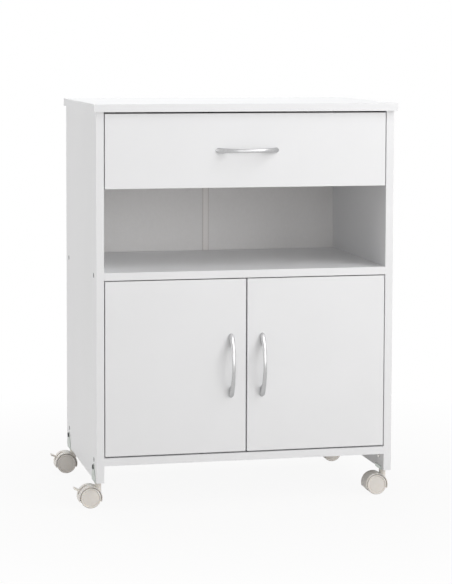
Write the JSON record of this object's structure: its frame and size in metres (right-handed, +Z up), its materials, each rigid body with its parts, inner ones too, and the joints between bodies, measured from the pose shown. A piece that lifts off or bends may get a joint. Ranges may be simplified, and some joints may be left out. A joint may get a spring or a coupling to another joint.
{
  "type": "printer cabinet",
  "caption": "White board cabinet on castors for a printer, with a bow-handled drawer on roller runners over an open niche and a cupboard closed by hinged inset doors.",
  "frame": {"origin": "on the floor, under the middle of the top panel", "axes": "+Z up, -Y towards the front, where the doors and the drawer open, +X to the right as seen from the front"},
  "size_m": [0.6349, 0.418, 0.78],
  "materials": {
    "white_board": "white melamine-faced chipboard with matching edge banding",
    "white_hardboard": "thin hardboard, painted white on the face",
    "joiner_plastic": "extruded white plastic strip",
    "zinc_plate": "zinc-plated pressed steel",
    "fastener_steel": "zinc-plated screws and pins",
    "dark_steel": "dark steel screw heads",
    "nickel_plate": "nickel-plated pressed steel",
    "satin_chrome": "satin chrome-plated casting",
    "runner_steel": "white powder-coated steel",
    "roller_plastic": "white nylon rollers",
    "castor_plastic": "cream moulded nylon"
  },
  "bodies": {
    "root": {"top_panel": "white_board", "left_side_panel": "white_board", "right_side_panel": "white_board", "middle_shelf": "white_board", "bottom_panel": "white_board", "back_panel_left": "white_hardboard", "back_panel_right": "white_hardboard", "back_joiner_strip": "joiner_plastic", "cupboard_shelf": "white_board", "shelf_pins": "zinc_plate", "panel_screws": "dark_steel", "cam_bolts": "fastener_steel", "cam_locks": "zinc_plate", "left_cabinet_runner": "runner_steel", "right_cabinet_runner": "runner_steel", "cabinet_runner_screws": "fastener_steel", "hinge_plates": "nickel_plate", "hinge_arms": "nickel_plate", "hinge_screws": "fastener_steel", "castor_brackets": "zinc_plate", "bracket_bolts": "dark_steel", "bracket_nuts": "nickel_plate", "castor_stems": "zinc_plate"},
    "drawer": {"drawer_front": "white_board", "drawer_left_side": "white_board", "drawer_right_side": "white_board", "drawer_back": "white_board", "drawer_bottom": "white_hardboard", "drawer_handle": "satin_chrome", "drawer_handle_screws": "fastener_steel", "drawer_cam_bolts": "fastener_steel", "drawer_cam_locks": "zinc_plate", "drawer_screws": "fastener_steel", "drawer_runner_screws": "fastener_steel", "left_drawer_runner": "runner_steel", "right_drawer_runner": "runner_steel"},
    "cabinet_rollers": {"cabinet_rollers": "roller_plastic"},
    "drawer_rollers": {"drawer_rollers": "roller_plastic"},
    "left_door": {"left_door": "white_board", "left_door_handle": "satin_chrome", "left_handle_screws": "fastener_steel", "left_hinge_cups": "nickel_plate", "left_hinge_pins": "fastener_steel", "left_cup_screws": "fastener_steel"},
    "right_door": {"right_door": "white_board", "right_door_handle": "satin_chrome", "right_handle_screws": "fastener_steel", "right_hinge_cups": "nickel_plate", "right_hinge_pins": "fastener_steel", "right_cup_screws": "fastener_steel"},
    "front_left_castor": {"front_left_castor_housing": "castor_plastic"},
    "front_left_wheels": {"front_left_castor_wheels": "castor_plastic"},
    "front_left_brake": {"front_left_brake_lever": "castor_plastic"},
    "front_right_castor": {"front_right_castor_housing": "castor_plastic"},
    "front_right_wheels": {"front_right_castor_wheels": "castor_plastic"},
    "rear_left_castor": {"rear_left_castor_housing": "castor_plastic"},
    "rear_left_wheels": {"rear_left_castor_wheels": "castor_plastic"},
    "rear_left_brake": {"rear_left_brake_lever": "castor_plastic"},
    "rear_right_castor": {"rear_right_castor_housing": "castor_plastic"},
    "rear_right_wheels": {"rear_right_castor_wheels": "castor_plastic"}
  },
  "joints": [
    {"name": "drawer_slide", "type": "slide", "parent": "root", "child": "drawer", "axis": [0, -1, 0], "range_m": [0, 0.265]},
    {"name": "cabinet_rollers_spin", "type": "hinge", "parent": "root", "child": "cabinet_rollers", "pos_m": [0, -0.161, 0.6395], "axis": [1, 0, 0], "continuous": true},
    {"name": "drawer_rollers_spin", "type": "hinge", "parent": "drawer", "child": "drawer_rollers", "pos_m": [0, 0.158, 0.6385], "axis": [1, 0, 0], "continuous": true},
    {"name": "left_door_hinge", "type": "hinge", "parent": "root", "child": "left_door", "pos_m": [-0.26, -0.1835, 0.272], "axis": [0, 0, -1], "range_deg": [0, 95]},
    {"name": "right_door_hinge", "type": "hinge", "parent": "root", "child": "right_door", "pos_m": [0.26, -0.1835, 0.272], "axis": [0, 0, 1], "range_deg": [0, 95]},
    {"name": "front_left_swivel", "type": "hinge", "parent": "root", "child": "front_left_castor", "pos_m": [-0.2875, -0.157, 0.045], "axis": [0, 0, 1], "continuous": true},
    {"name": "front_left_wheels_spin", "type": "hinge", "parent": "front_left_castor", "child": "front_left_wheels", "pos_m": [-0.3035, -0.157, 0.02], "axis": [0, 1, 0], "continuous": true},
    {"name": "front_left_brake_press", "type": "hinge", "parent": "front_left_castor", "child": "front_left_brake", "pos_m": [-0.315, -0.157, 0.0296], "axis": [0, -1, 0], "range_deg": [0, 15]},
    {"name": "front_right_swivel", "type": "hinge", "parent": "root", "child": "front_right_castor", "pos_m": [0.2875, -0.157, 0.045], "axis": [0, 0, 1], "continuous": true},
    {"name": "front_right_wheels_spin", "type": "hinge", "parent": "front_right_castor", "child": "front_right_wheels", "pos_m": [0.2715, -0.157, 0.02], "axis": [0, 1, 0], "continuous": true},
    {"name": "rear_left_swivel", "type": "hinge", "parent": "root", "child": "rear_left_castor", "pos_m": [-0.2875, 0.167, 0.045], "axis": [0, 0, 1], "continuous": true},
    {"name": "rear_left_wheels_spin", "type": "hinge", "parent": "rear_left_castor", "child": "rear_left_wheels", "pos_m": [-0.3035, 0.167, 0.02], "axis": [0, 1, 0], "continuous": true},
    {"name": "rear_left_brake_press", "type": "hinge", "parent": "rear_left_castor", "child": "rear_left_brake", "pos_m": [-0.315, 0.167, 0.0296], "axis": [0, -1, 0], "range_deg": [0, 15]},
    {"name": "rear_right_swivel", "type": "hinge", "parent": "root", "child": "rear_right_castor", "pos_m": [0.2875, 0.167, 0.045], "axis": [0, 0, 1], "continuous": true},
    {"name": "rear_right_wheels_spin", "type": "hinge", "parent": "rear_right_castor", "child": "rear_right_wheels", "pos_m": [0.2715, 0.167, 0.02], "axis": [0, 1, 0], "continuous": true}
  ],
  "couplings": [
    {"joint": "cabinet_rollers_spin", "follows": "drawer_slide", "rad_per_m": 111.11},
    {"joint": "drawer_rollers_spin", "follows": "drawer_slide", "rad_per_m": 111.11}
  ]
}
